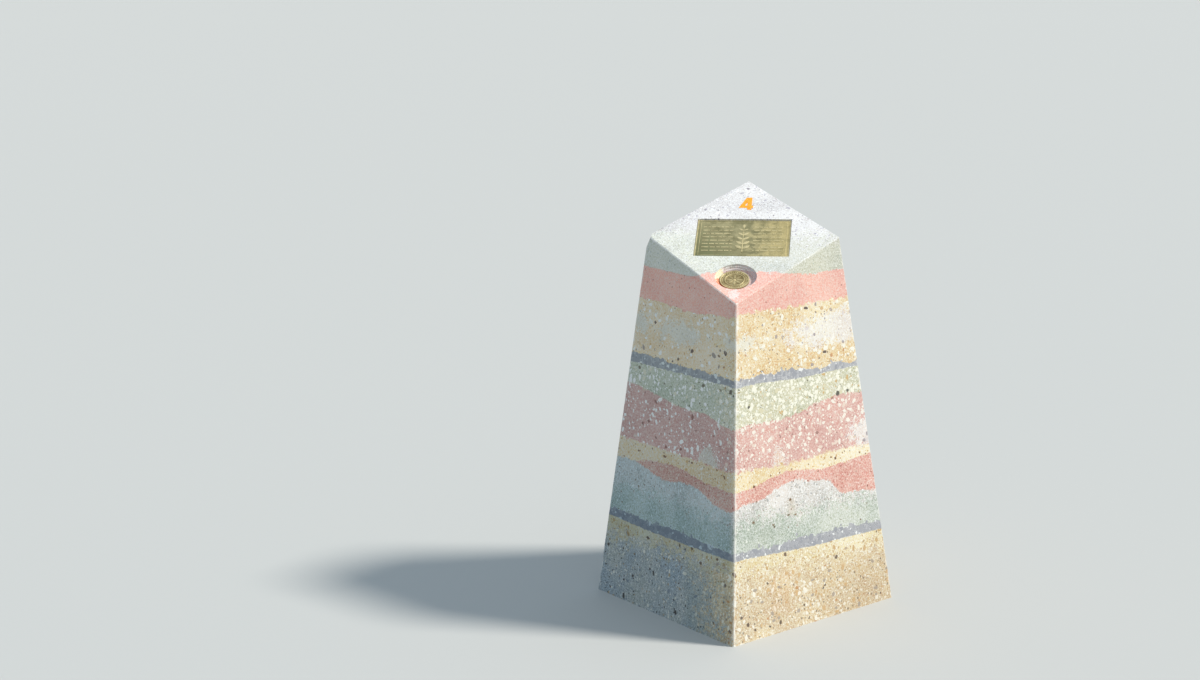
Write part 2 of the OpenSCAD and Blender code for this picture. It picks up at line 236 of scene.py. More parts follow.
def make_cast():
    """What every mix has in common, as one group: its stones, sand, clouds, pits, and worn edges that are
    painted bright as a highlight too.
    """
    tree = bpy.data.node_groups.new("cast_concrete", "ShaderNodeTree")
    place = tree.nodes.new("ShaderNodeTexCoord").outputs["Object"]
    axes = tree.nodes.new("ShaderNodeSeparateXYZ")
    tree.links.new(place, axes.inputs[0])
    x, y, z = axes.outputs
    wobble = noise(tree, place, skin_grain, kind="Color")
    wobble = vector_step(tree, "SUBTRACT", wobble, (0.5, 0.5, 0.5))
    wobble = vector_step(tree, "MULTIPLY", wobble, (skin_wobble,) * 3)
    rough_place = vector_step(tree, "ADD", place, wobble)
    clouds = span(tree, noise(tree, place, cloud_wide, 3), 0.38, 0.62)
    mottle = span(tree, noise(tree, place, mottle_wide, 4), 0.32, 0.68)
    drawn_out = vector_step(tree, "MULTIPLY", place, (1, 1, 0.09))
    streaks = span(tree, noise(tree, drawn_out, streak_wide, 3), 0.35, 0.65)
    ragged = span(tree, noise(tree, place, ragged_wide, 4), 0.3, 0.7, -1, 1)
    coarse = crushed_stone(tree, rough_place, coarse_apart, coarse_halves)
    fine = crushed_stone(tree, rough_place, fine_apart, fine_halves)
    sand = tree.nodes.new("ShaderNodeTexVoronoi")
    feed(tree, place, sand.inputs["Vector"])
    sand.inputs["Scale"].default_value = 1 / sand_apart
    grain = tree.nodes.new("ShaderNodeSeparateColor")
    tree.links.new(sand.outputs["Color"], grain.inputs[0])
    # The paste is mottled, and grains of pale and of dark sand stand out of it
    mottling = span(tree, noise(tree, place, paste_grain, 2), 0.36, 0.64, 0.15, 0.85)
    grain_inside = step(tree, "LESS_THAN", sand.outputs["Distance"], 0.45)
    pale = times(tree, grain_inside, step(tree, "GREATER_THAN", grain.outputs[1], 0.76))
    dark = times(tree, grain_inside, step(tree, "LESS_THAN", grain.outputs[1], 0.16))
    speckle = times_plus(tree, pale, 0.7, mottling)
    speckle = span(tree, times_plus(tree, dark, -0.7, speckle), 0, 1)
    # Stones lie thicker in some places than in others
    crowd = span(tree, noise(tree, place, crowd_wide), 0.35, 0.65, 1.35, 0.75)
    # Small holes left by air, each in a cell that holds no stone
    hole = span(tree, fine[0], 0.35, 0.55, 1, 0)
    hole = times(tree, hole, step(tree, "GREATER_THAN", fine[1], 0.965))
    # How far a point lies under each skin of the block, and from there to the nearest edge
    wide = step(tree, "ABSOLUTE", x)
    deep = step(tree, "ABSOLUTE", y)
    reach = times_plus(tree, z, (half_crown - half_foot) / peak, half_foot)
    under_face = minus(tree, reach, step(tree, "ADD", wide, deep))
    under_slope = times_plus(tree, y, math.tan(top_fall), slope_middle)
    under_slope = minus(tree, under_slope, z)
    top_edge = step(tree, "MAXIMUM", under_face, under_slope)
    right_half = step(tree, "GREATER_THAN", x, 0)
    top_edge = times_plus(tree, right_half, right_clear, top_edge)
    aside = step(tree, "ABSOLUTE", minus(tree, x, arris_shift))
    arris = step(tree, "MAXIMUM", step(tree, "MINIMUM", aside, deep), under_face)
    # The four arrises and the left edge of the top are worn here and there to pale sand, which also
    # stands as a painted highlight on the lit side of each edge
    worn = []
    for near, width, share in ((arris, arris_rub_glint, 0.65), (top_edge, top_rub_glint, 0.6)):
        near = times_plus(tree, ragged, rub_glint_ragged, near)
        worn.append(span(tree, near, rub_glint_start, width, share, 0))
    rub_and_glint = times(tree, step(tree, "MAXIMUM", *worn), span(tree, mottle, 0.2, 0.7, 0.4, 1))
    found = {
        "x": x, "y": y, "z": z, "clouds": clouds, "mottle": mottle, "streaks": streaks, "ragged": ragged,
        "sand": grain.outputs[0], "speckle": speckle, "hole": hole, "rub_and_glint": rub_and_glint,
        "coarse_skin": coarse[0], "coarse_pick": times(tree, coarse[1], crowd),
        "coarse_tone": coarse[2],
        "fine_skin": fine[0], "fine_pick": times(tree, fine[1], crowd),
        "fine_tone": fine[2],
    }
    way_out = tree.nodes.new("NodeGroupOutput")
    for name, socket in found.items():
        tree.interface.new_socket(name=name, in_out="OUTPUT", socket_type="NodeSocketFloat")
        tree.links.new(socket, way_out.inputs[name])
    return tree


cast = make_cast()


def colour_of(tree, found, mix):
    """The colour of a mix at a point: clouded and sanded paste, then fine and coarse stones."""
    colour = blend(tree, found["clouds"], srgb(*mix["paste"]), srgb(*mix["cloud"]))
    colour = blend(tree, mix.get("sand", 0.25), colour, found["sand"], "OVERLAY")
    colour = blend(tree, mix.get("speckle", 0.3), colour, found["speckle"], "OVERLAY")
    for size in ("fine", "coarse"):
        share, reach = mix[size]
        tones = tree.nodes.new("ShaderNodeValToRGB")
        ramp = tones.color_ramp
        ramp.interpolation = "CONSTANT"
        start = 0.0
        for number, (stone, part) in enumerate(mix.get(size + "_stones", mix["stones"])):
            stop = ramp.elements[number] if number < 2 else ramp.elements.new(start)
            stop.position = start
            stop.color = srgb(*stone)
            start += part
        feed(tree, found[size + "_tone"], tones.inputs[0])
        inside = step(tree, "LESS_THAN", found[size + "_skin"], reach)
        picked = step(tree, "LESS_THAN", found[size + "_pick"], share)
        inside = times(tree, inside, picked)
        colour = blend(tree, inside, colour, tones.outputs[0])
    if "left_tint" in mix:
        # Painted shade: left of the front corner, on the side the lamp leaves in shade, each mix is
        # darkened and cooled
        tint, share = mix["left_tint"]
        colour = blend(tree, span(tree, found["x"], -0.012, 0, share, 0), colour, srgb(*tint), "MULTIPLY")
    return colour


def rise_of(tree, found, wave):
    """The rise of a bed's upper surface at x, eased from each crest or trough to the next."""
    first, last = wave[0][0], wave[-1][0]
    low = min(rise for x, rise in wave)
    high = max(rise for x, rise in wave)
    curve = tree.nodes.new("ShaderNodeValToRGB")
    ramp = curve.color_ramp
    ramp.interpolation = "EASE"
    for number, (x, rise) in enumerate(wave):
        place = (x - first) / (last - first)
        stop = ramp.elements[number] if number < 2 else ramp.elements.new(place)
        stop.position = place
        grey = (rise - low) / (high - low)
        stop.color = (grey, grey, grey, 1)
    feed(tree, span(tree, found["x"], first, last), curve.inputs[0])
    return times_plus(tree, curve.outputs[0], high - low, low)


def over(surface):
    """How far a point lies over a bed's upper surface, with the surface's own raggedness."""
    def measure(tree, found):
        height = minus(tree, found["z"], rise_of(tree, found, surface["wave"]))
        height = minus(tree, height, surface["level"])
        height = times_plus(tree, found["ragged"], surface["ragged"], height)
        lumps, middle = surface.get("lumps", ("fine_tone", 0.5))
        stones = step(tree, "MINIMUM", found[lumps], 1.2)
        stones = minus(tree, stones, middle)
        return times_plus(tree, stones, surface["stony"], height)
    return measure


def let_in(bed, mix, measure, soft, far_side=True):
    """Lets another mix into a bed's face where measure is above zero, or else below it. Along the
    line, single grains of each lie in the other."""
    tree, found = bed["tree"], bed["found"]
    across = measure(tree, found)
    for grains in ("sand", "fine_tone"):
        stray = minus(tree, found[grains], 0.5)
        across = times_plus(tree, stray, 1.2 * soft, across)
    share = span(tree, across, -0.4 * soft, 0.4 * soft)
    other = colour_of(tree, found, mix)
    pair = (bed["colour"], other) if far_side else (other, bed["colour"])
    bed["colour"] = blend(tree, share, *pair)
    feed(tree, bed["colour"], bed["worn"].inputs[6])


def roughen(tree, shader, height, deep, strength=1.0):
    """Gives a finish a grain that shows in the light and is as deep as stated."""
    bump = tree.nodes.new("ShaderNodeBump")
    bump.inputs["Strength"].default_value = strength
    bump.inputs["Distance"].default_value = deep
    feed(tree, height, bump.inputs["Height"])
    feed(tree, bump.outputs[0], shader.inputs["Normal"])


def cast_bed(node, mix):
    """Gives a cast piece the finish of its mix, ground flush and a little open between stones."""
    material, tree, shader = new_finish(node + "_concrete")
    group = tree.nodes.new("ShaderNodeGroup")
    group.node_tree = cast
    found = group.outputs
    colour = colour_of(tree, found, mix)
    # Pale sand on the worn edges, laid on their lit side as a painted highlight too
    worn = blend(tree, times(tree, found["rub_and_glint"], 0.95), colour, srgb(255, 251, 242))
    pitted = blend(tree, times(tree, found["hole"], 0.8), worn, srgb(70, 62, 54))
    feed(tree, pitted, shader.inputs["Base Color"])
    stone = step(tree, "LESS_THAN", found["coarse_skin"], mix["coarse"][1])
    feed(tree, span(tree, stone, 0, 1, 0.78, 0.55), shader.inputs["Roughness"])
    height = times_plus(tree, found["sand"], 0.35, found["mottle"])
    height = times_plus(tree, stone, 0.5, height)
    height = times_plus(tree, found["hole"], -3.0, height)
    roughen(tree, shader, height, 0.0005, 0.6)
    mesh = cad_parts[node].data
    mesh.materials.clear()
    mesh.materials.append(material)
    return {"tree": tree, "found": found, "colour": colour, "worn": worn.node, "mix": mix}


foot_grey_mix = dict(
    paste=(236, 217, 182), cloud=(222, 202, 170), sand=0.35,
    fine=(0.7, 1.0), coarse=(0.6, 1.0), speckle=0.5,
    stones=[((252, 245, 228), 0.48), ((186, 172, 156), 0.18), ((222, 188, 140), 0.20),
            ((116, 100, 84), 0.07), ((206, 160, 112), 0.07)],
    fine_stones=[((252, 245, 228), 0.52), ((208, 178, 134), 0.28), ((156, 140, 120), 0.2)],
)
foot_blue_mix = dict(
    paste=(190, 194, 189), cloud=(168, 180, 187), sand=0.35,
    fine=(0.4, 0.95), coarse=(0.3, 0.95), speckle=0.35,
    stones=[((232, 230, 218), 0.4), ((140, 150, 160), 0.28), ((176, 160, 132), 0.14),
            ((78, 76, 74), 0.18)],
)
foot_grey_top = dict(
    level=0.140, ragged=0.012, stony=0.004,
    wave=[(-0.3, -0.008), (-0.15, 0.010), (0, 0), (0.15, -0.006), (0.3, -0.014)],
)


def left_of(line, ragged):
    """How far a point lies to the left of a line across the block."""
    def measure(tree, found):
        left = minus(tree, line, found["x"])
        return times_plus(tree, found["ragged"], ragged, left)
    return measure


def patch(low, high, soft, pattern=None):
    """1 on a part of the face between two corners (x, z), broken up by one of the patterns."""
    def measure(tree, found):
        share = found[pattern] if pattern else 1
        for axis, start, end in (("x", low[0], high[0]), ("z", low[1], high[1])):
            share = times(tree, share, span(tree, found[axis], start - soft, start + soft))
            share = times(tree, share, span(tree, found[axis], end - soft, end + soft, 1, 0))
        return share
    return measure


def stain(bed, measure, shade, share):
    """Darkens a bed's face with a stain where measure is above zero."""
    tree, found = bed["tree"], bed["found"]
    part = times(tree, measure(tree, found), share)
    bed["colour"] = blend(tree, part, bed["colour"], srgb(*shade), "MULTIPLY")
    feed(tree, bed["colour"], bed["worn"].inputs[6])


foot_grey = cast_bed("foot_grey_bed", foot_grey_mix)
blue_side = left_of(-0.045, 0.02)
let_in(foot_grey, foot_blue_mix, blue_side, 0.05)
# Rust-brown water has run down beside the front corner. Painted shade darkens the right end of the foot a
# little, and darkens and cools the foot of the left face
stain(foot_grey, patch((0.07, 0.04), (0.12, 0.2), 0.014, "streaks"), (226, 180, 128), 0.45)
stain(foot_grey, patch((0.19, -0.1), (0.5, 0.16), 0.06), (242, 238, 234), 0.9)
stain(foot_grey, patch((-0.4, -0.1), (-0.01, 0.12), 0.03, "streaks"), (204, 212, 216), 0.45)
stain(foot_grey, patch((-0.11, -0.1), (-0.006, 0.16), 0.006), (232, 236, 234), 0.8)


def lay(node, mix, under, surface, soft):
    """Lays the next pour over the one under it, and lets the two run together where they meet."""
    bed = cast_bed(node, mix)
    let_in(under, mix, over(surface), soft)
    let_in(bed, under["mix"], over(surface), soft, far_side=False)
    return bed


# Foot buff bed
# A strip of yellow sand concrete laid on the foot while that was still soft, so that the two
# run into each other.
foot_buff_mix = dict(
    paste=(246, 235, 202), cloud=(236, 220, 180), sand=0.3,
    fine=(0.62, 0.95), coarse=(0.48, 0.95), speckle=0.45,
    stones=[((250, 242, 218), 0.52), ((206, 172, 122), 0.32), ((132, 112, 92), 0.16)],
    fine_stones=[((252, 244, 222), 0.6), ((208, 174, 124), 0.4)],
    left_tint=((206, 216, 222), 0.9),
)
foot_buff_top = dict(
    level=0.175, ragged=0.001, stony=0.001,
    wave=[(-0.3, 0.001), (-0.2, -0.002), (0, 0), (0.19, -0.013), (0.3, -0.016)],
)
foot_buff = lay("foot_buff_bed", foot_buff_mix, foot_grey, foot_grey_top, 0.034)


def clear_of_blue(tree, found):
    """How far a point lies over the foot's top, or else right of where its blue side ends."""
    right = times(tree, blue_side(tree, found), -1)
    return step(tree, "MAXIMUM", over(foot_grey_top)(tree, found), right)


let_in(foot_buff, foot_blue_mix, clear_of_blue, 0.034, far_side=False)

# Slate bands
# Two thin beds of crushed blue slate bound with a little grey paste. Each was tipped on a level
# bed, so its foot is even, and its loose upper stones stand up into the next pour.
slate_mix = dict(
    paste=(186, 186, 188), cloud=(176, 176, 180), sand=0.25, speckle=0.25,
    fine=(0.93, 1.5), coarse=(0.97, 1.9),
    stones=[((175, 175, 179), 0.42), ((164, 165, 171), 0.26), ((188, 188, 190), 0.22),
            ((246, 246, 243), 0.1)],
    left_tint=((182, 201, 214), 0.9),
)
upper_slate_mix = dict(
    slate_mix, paste=(200, 200, 201), cloud=(190, 190, 192), left_tint=((232, 240, 241), 0.9))
lower_slate_top = dict(
    level=0.196, ragged=0.003, stony=0.011, lumps=("coarse_skin", 0.85),
    wave=[(-0.3, 0.001), (-0.26, 0.003), (-0.21, 0), (-0.115, 0.004), (-0.045, -0.001),
          (0.01, 0), (0.095, -0.007), (0.13, -0.001), (0.16, -0.008), (0.205, -0.007),
          (0.3, -0.015)],
)
upper_slate_top = dict(
    level=0.550, ragged=0.003, stony=0.011, lumps=("coarse_skin", 0.85),
    wave=[(-0.3, 0), (-0.165, 0.002), (-0.145, -0.001), (-0.035, 0.002), (0.015, -0.001),
          (0.056, 0.003), (0.076, -0.001), (0.1, 0.001), (0.172, -0.012), (0.198, -0.005),
          (0.232, -0.013), (0.3, -0.009)],
)
lower_slate = lay("lower_slate_band", slate_mix, foot_buff, foot_buff_top, 0.0006)

# Green bed
# A fine grey-green pour with hardly a stone in it, streaked where water ran down the mould.
green_mix = dict(
    paste=(214, 217, 204), cloud=(194, 201, 189), sand=0.22,
    fine=(0.4, 0.85), coarse=(0.05, 0.8), speckle=0.5,
    stones=[((240, 241, 230), 0.5), ((180, 186, 170), 0.42), ((136, 118, 92), 0.08)],
    left_tint=((216, 235, 248), 0.9),
)
green_top = dict(
    level=0.248, ragged=0.010, stony=0.002,
    wave=[(-0.3, 0.002), (-0.15, 0.007), (0, 0), (0.04, 0.009), (0.12, -0.008),
          (0.22, -0.005), (0.3, -0.011)],
)
green = lay("green_bed", green_mix, lower_slate, lower_slate_top, 0.0006)
stain(green, patch((0.012, 0.19), (0.095, 0.262), 0.014, "streaks"), (178, 184, 158), 0.16)
# Painted shade: the left face of the green bed near the front corner is darker and cooler
stain(green, patch((-0.13, 0.15), (-0.01, 0.3), 0.02, "streaks"), (190, 206, 212), 0.35)

# Grey bed
# A pale grey pour heaped in large swells, nearly white where it is heaped highest.
grey_mix = dict(
    paste=(240, 233, 226), cloud=(216, 212, 206), sand=0.3, speckle=0.6,
    fine=(0.7, 0.95), coarse=(0.25, 0.75),
    stones=[((253, 250, 245), 0.55), ((186, 184, 180), 0.38), ((158, 142, 124), 0.07)],
    left_tint=((218, 235, 242), 0.9),
)
grey_top = dict(
    level=0.280, ragged=0.002, stony=0.002,
    wave=[(-0.3, 0.029), (-0.24, 0.034), (-0.16, 0.014), (-0.105, 0.023), (-0.018, -0.006),
          (0.025, 0.008), (0.042, 0.009), (0.112, 0.034), (0.165, 0.020), (0.18, 0.017),
          (0.22, -0.022), (0.3, -0.034)],
)
grey = lay("grey_bed", grey_mix, green, green_top, 0.026)

# Red seam
# A fine red pour packed over the swells. It thins out to nothing towards the left-hand corner.
red_mix = dict(
    paste=(237, 190, 176), cloud=(225, 172, 158), sand=0.3,
    fine=(0.42, 0.9), coarse=(0.05, 0.8), speckle=0.48,
    stones=[((248, 216, 204), 0.55), ((206, 140, 126), 0.33), ((146, 100, 84), 0.12)],
    left_tint=((237, 253, 255), 0.95),
)
red_top = dict(
    level=0.317, ragged=0.002, stony=0.002,
    wave=[(-0.3, -0.017), (-0.148, 0.014), (-0.03, -0.001), (0.005, -0.001), (0.108, 0.018),
          (0.178, 0.005), (0.215, 0.008), (0.3, 0.016)],
)
red = lay("red_seam", red_mix, grey, grey_top, 0.0015)

# Ochre seam
# A strip of yellow ochre concrete with a few dark specks. Beyond the end of the red seam it
# lies straight on the grey bed.
ochre_mix = dict(
    paste=(248, 231, 195), cloud=(238, 216, 174), sand=0.28,
    fine=(0.52, 0.95), coarse=(0.34, 0.85), speckle=0.5,
    stones=[((252, 245, 224), 0.45), ((216, 178, 122), 0.32), ((128, 96, 70), 0.23)],
    fine_stones=[((252, 245, 224), 0.5), ((214, 176, 122), 0.36), ((156, 122, 90), 0.14)],
    left_tint=((242, 245, 255), 0.95),
)
ochre_top = dict(
    level=0.357, ragged=0.003, stony=0.003,
    wave=[(-0.3, 0.001), (-0.1, 0.002), (0, 0), (0.12, -0.006), (0.2, -0.002), (0.3, -0.008)],
)
ochre = lay("ochre_seam", ochre_mix, red, red_top, 0.0015)
ochre_pale_mix = dict(ochre_mix, paste=(252, 241, 214), cloud=(246, 232, 200))
let_in(ochre, ochre_pale_mix, left_of(0.19, 0.02), 0.05, far_side=False)


def over_both(tree, found):
    """How far a point lies over both the grey bed and the red seam."""
    return step(tree, "MINIMUM", over(grey_top)(tree, found), over(red_top)(tree, found))


let_in(grey, ochre_mix, over_both, 0.0015)
let_in(ochre, grey_mix, over(grey_top), 0.0015, far_side=False)

# Rose chip bed
# A deep rose pour, thick with long splinters of white marble.
rose_chip_mix = dict(
    paste=(232, 191, 179), cloud=(220, 177, 167), sand=0.24, speckle=0.36,
    fine=(0.52, 1.0), coarse=(0.82, 1.06),
    stones=[((251, 242, 228), 0.64), ((240, 218, 202), 0.29), ((172, 132, 122), 0.07)],
)
rose_chip_top = dict(
    level=0.447, ragged=0.003, stony=0.003,
    wave=[(-0.3, 0.034), (-0.25, 0.033), (-0.105, 0.013), (-0.07, 0.015), (-0.012, -0.003),
          (0.035, 0.003), (0.072, -0.001), (0.21, 0.023), (0.3, 0.016)],
)
rose_chip = lay("rose_chip_bed", rose_chip_mix, ochre, ochre_top, 0.003)
rose_sparse_shade_mix = dict(
    rose_chip_mix, paste=(222, 187, 178), cloud=(211, 176, 168), fine=(0.3, 0.9), coarse=(0.6, 1.0),
    stones=[((255, 255, 250), 0.72), ((226, 208, 196), 0.2), ((150, 112, 104), 0.08)])
# Fewer and duller chips show on the left face: partly the beds' own, partly painted shade. The sage and
# buff chip beds do the same further on
left_face = left_of(-0.015, 0.02)
let_in(rose_chip, rose_sparse_shade_mix, left_face, 0.03)

# Sage chip bed
# A sage-green pour, crowded with cream chips and here and there a black one.
sage_chip_mix = dict(
    paste=(223, 218, 192), cloud=(207, 206, 181), sand=0.28, speckle=0.45,
    fine=(0.78, 1.05), coarse=(0.92, 1.2),
    stones=[((252, 248, 230), 0.74), ((226, 218, 186), 0.17), ((214, 180, 124), 0.07),
            ((100, 98, 88), 0.02)],
)
sage_chip_top = dict(
    level=0.531, ragged=0.001, stony=0.001,
    wave=[(-0.3, -0.005), (0, 0.001), (0.03, 0.001), (0.145, -0.007), (0.3, -0.007)],
)
sage_sparse_shade_mix = dict(
    sage_chip_mix, paste=(214, 217, 198), cloud=(199, 206, 188), fine=(0.4, 0.95), coarse=(0.68, 1.05),
    stones=[((255, 255, 252), 0.72), ((228, 226, 204), 0.18), ((120, 116, 100), 0.1)])
sage_chip = lay("sage_chip_bed", sage_chip_mix, rose_chip, rose_chip_top, 0.0015)
let_in(sage_chip, sage_sparse_shade_mix, left_face, 0.03)
upper_slate = lay("upper_slate_band", upper_slate_mix, sage_chip, sage_chip_top, 0.0006)

# Buff chip bed
# The deepest pour: yellow-brown sand concrete with stones of every colour.
buff_chip_mix = dict(
    paste=(246, 230, 196), cloud=(234, 207, 162), sand=0.35, speckle=0.45,
    fine=(0.62, 0.98), coarse=(0.62, 1.05),
    stones=[((252, 247, 231), 0.66), ((222, 186, 136), 0.17), ((180, 166, 158), 0.07),
            ((208, 158, 114), 0.04), ((108, 94, 84), 0.06)],
    fine_stones=[((252, 245, 226), 0.58), ((220, 184, 134), 0.27), ((170, 148, 122), 0.15)],
)
buff_chip_top = dict(
    level=0.671, ragged=0.004, stony=0.004,
    wave=[(-0.3, -0.004), (-0.17, -0.002), (-0.09, -0.007), (-0.045, 0.001), (-0.025, 0.001),
          (0.015, 0.008), (0.12, 0.004), (0.3, 0.003)],
)
buff_sparse_shade_mix = dict(
    buff_chip_mix, paste=(249, 233, 205), cloud=(239, 219, 186), speckle=0.4, fine=(0.4, 0.95),
    coarse=(0.56, 1.02),
    stones=[((255, 255, 250), 0.6), ((224, 202, 164), 0.2), ((170, 160, 150), 0.1), ((110, 98, 88), 0.1)])
buff_chip = lay("buff_chip_bed", buff_chip_mix, upper_slate, upper_slate_top, 0.0006)
let_in(buff_chip, buff_sparse_shade_mix, left_face, 0.03)

# Rose bed
# A plain rose pour, with nothing coarser than dark sand in it.
rose_mix = dict(
    paste=(248, 199, 183), cloud=(239, 186, 172), sand=0.22,
    fine=(0.14, 0.7), coarse=(0.0, 0.5),
    stones=[((184, 128, 118), 0.55), ((251, 222, 210), 0.45)],
)
rose_top = dict(
    level=0.743, ragged=0.0015, stony=0.0015,
    wave=[(-0.3, -0.005), (-0.115, -0.006), (-0.055, 0.005), (0.08, 0.006), (0.148, -0.007),
          (0.3, -0.007)],
)
rose = lay("rose_bed", rose_mix, buff_chip, buff_chip_top, 0.002)
# Painted light: the rose bed is painted paler on its shaded left face
let_in(rose, dict(rose_mix, paste=(255, 207, 190), cloud=(248, 195, 180)), left_of(-0.02, 0.01), 0.02)

# Cap
# The last pour, white concrete that was trowelled off to the slope. It is pale green where it
# was laid on the rose bed, and the one shade passes into the other.
cap_green_mix = dict(
    paste=(222, 220, 209), cloud=(209, 209, 200), sand=0.28, speckle=0.4,
    fine=(0.35, 0.75), coarse=(0.0, 0.5),
    stones=[((242, 243, 238), 0.6), ((190, 197, 192), 0.4)],
)
cap_green_top = dict(
    level=0.800, ragged=0.006, stony=0.0,
    wave=[(-0.2, 0.001), (0, 0), (0.2, 0.002)],
)
cap_white_mix = dict(
    paste=(236, 232, 229), cloud=(216, 212, 211), sand=0.3, speckle=0.6,
    fine=(0.55, 0.9), coarse=(0.34, 0.8),
    stones=[((250, 248, 245), 0.46), ((192, 187, 194), 0.44), ((150, 143, 150), 0.1)],
)
cap_green = lay("cap_green_bed", cap_green_mix, rose, rose_top, 0.0012)


def under_slope(tree, found):
    """How far a point lies under the sloping top, straight down."""
    slope = times_plus(tree, found["y"], math.tan(top_fall), slope_middle)
    return minus(tree, slope, found["z"])


def left_painted_light(tree, found):
    """Where the cap's green is painted paler, as painted light: on the shaded left face, and less so on
    the top.
    """
    clear = times(tree, minus(tree, under_slope(tree, found), 0.002), 10)
    clear = step(tree, "MAXIMUM", clear, -0.002)
    below = times(tree, over(cap_green_top)(tree, found), -1)
    left = step(tree, "MINIMUM", left_of(-0.02, 0.01)(tree, found), below)
    return step(tree, "MINIMUM", left, clear)


def right_face_shade(tree, found):
    """1 on the cap's green where it shows on the right face, and 0 on the top."""
    face = span(tree, under_slope(tree, found), 0.001, 0.003)
    return times(tree, face, patch((0, 0.7), (0.5, 0.802), 0.008)(tree, found))


cap_white = lay("cap_white_bed", cap_white_mix, cap_green, cap_green_top, 0.02)
# Painted light and shade: the cap is painted paler on its shaded left face and less so on the left of the
# top, and a little darker and warmer on the right face than on the top
for bed in (cap_green, cap_white):
    let_in(bed, dict(cap_green_mix, paste=(236, 235, 221), cloud=(224, 225, 212)), left_painted_light, 0.02)
    stain(bed, right_face_shade, (251, 251, 242), 1)

# Lenses and pockets
# Patches of other mixes that were dropped into the buff and the rose chip pours. Each keeps
# a soft edge, where it was worked into the bed round it.
lens_foot = 0.8


def within(middle, wide, high, ragged):
    """How far a point lies inside a lens, whose foot is flatter than its head."""
    def measure(tree, found):
        across = minus(tree, found["x"], middle[0])
        across = step(tree, "DIVIDE", across, wide / 2)
        up = minus(tree, found["z"], middle[1])
        head = step(tree, "DIVIDE", up, high / 2)
        foot = step(tree, "DIVIDE", up, -high / 2 * lens_foot)
        up = step(tree, "MAXIMUM", head, foot)
        square = times(tree, across, across)
        square = times_plus(tree, up, up, square)
        inside = minus(tree, 1, step(tree, "SQRT", square))
        inside = times(tree, inside, high / 2)
        inside = times_plus(tree, found["mottle"], ragged, inside)
        inside = times_plus(tree, found["clouds"], ragged, inside)
        return minus(tree, inside, ragged)
    return measure


def in_front(measure):
    """Keeps a patch to the side of the low front corner."""
    def both(tree, found):
        front = minus(tree, 0, found["y"])
        return step(tree, "MINIMUM", measure(tree, found), front)
    return both


def drop_in(node, mix, bed, wide, high, left_end=True, soft=0.013, ragged=0.016):
    """Drops a lens into a bed. Its place comes from the end of the CAD piece that is whole."""
    low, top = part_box(node)
    middle_x = low.x + wide / 2 if left_end else top.x - wide / 2
    lens = cast_bed(node, mix)
    measure = within((middle_x, top.z - high / 2), wide, high, ragged)
    let_in(bed, mix, measure, soft)
    let_in(lens, bed["mix"], measure, soft, far_side=False)
    return lens


white_lens_mix = dict(
    paste=(247, 240, 226), cloud=(238, 229, 219), sand=0.35, speckle=0.5,
    fine=(0.66, 1.0), coarse=(0.44, 1.05),
    stones=[((252, 247, 238), 0.5), ((228, 218, 214), 0.28), ((222, 200, 172), 0.12),
            ((176, 166, 168), 0.1)],
)
grey_lens_mix = dict(
    paste=(246, 240, 222), cloud=(233, 229, 214), sand=0.28,
    fine=(0.3, 0.9), coarse=(0.12, 0.9),
    stones=[((250, 246, 232), 0.55), ((206, 202, 190), 0.3), ((132, 128, 120), 0.15)],
)
sage_pocket_mix = dict(
    sage_chip_mix, paste=(230, 219, 206), cloud=(216, 209, 197), fine=(0.2, 0.8), coarse=(0.08, 0.8))
white_pocket_mix = dict(white_lens_mix, paste=(244, 222, 206), cloud=(236, 212, 197), coarse=(0.5, 1.0))
corner_pocket_mix = dict(white_lens_mix, paste=(243, 232, 224), cloud=(230, 218, 212))
arris_lens_mix = dict(grey_lens_mix, paste=(246, 239, 220), cloud=(234, 227, 208))

drop_in("white_lens", white_lens_mix, buff_chip, 0.162, 0.074)
drop_in("grey_lens", grey_lens_mix, buff_chip, 0.084, 0.050)
drop_in("edge_lens", grey_lens_mix, buff_chip, 0.070, 0.034, left_end=False)
drop_in("arris_lens", arris_lens_mix, buff_chip, 0.092, 0.026)
sage_pocket = drop_in("sage_pocket", sage_pocket_mix, rose_chip, 0.042, 0.072, soft=0.009, ragged=0.008)
white_pocket = drop_in("white_pocket", white_pocket_mix, rose_chip, 0.026, 0.064, soft=0.014,
                       ragged=0.010)
# The two that stand on the ochre seam share its ragged upper line
for pocket in (sage_pocket, white_pocket):
    let_in(pocket, ochre_mix, over(ochre_top), 0.003, far_side=False)
drop_in("corner_pocket", corner_pocket_mix, rose_chip, 0.076, 0.078, soft=0.012, ragged=0.012)
# The tip of the front corner is rubbed pale
tip_mix = dict(rose_mix, paste=(252, 228, 220), cloud=(248, 218, 208))
let_in(rose, tip_mix, in_front(within((-0.005, 0.7165), 0.020, 0.012, 0.004)), 0.004)

# Lumps of ironstone in the grey and the green bed, and the rust that has run down below them
ironstone_mix = dict(grey_mix, paste=(142, 116, 84), cloud=(112, 90, 66), fine=(0.2, 0.8))
for x, z, wide, high in ((0.110, 0.274, 0.004, 0.006), (0.120, 0.240, 0.005, 0.0035),
                         (0.107, 0.243, 0.004, 0.004), (0.078, 0.226, 0.004, 0.004)):
    for bed in (grey, green):
        let_in(bed, ironstone_mix, in_front(within((x, z), wide, high, 0.0)), 0.0012)
stain(grey, patch((0.107, 0.230), (0.117, 0.276), 0.008), (236, 218, 188), 0.5)

dish_x, dish_up, dish_across, skin_deep = -0.006, -0.14575, 0.0875, 0.0008


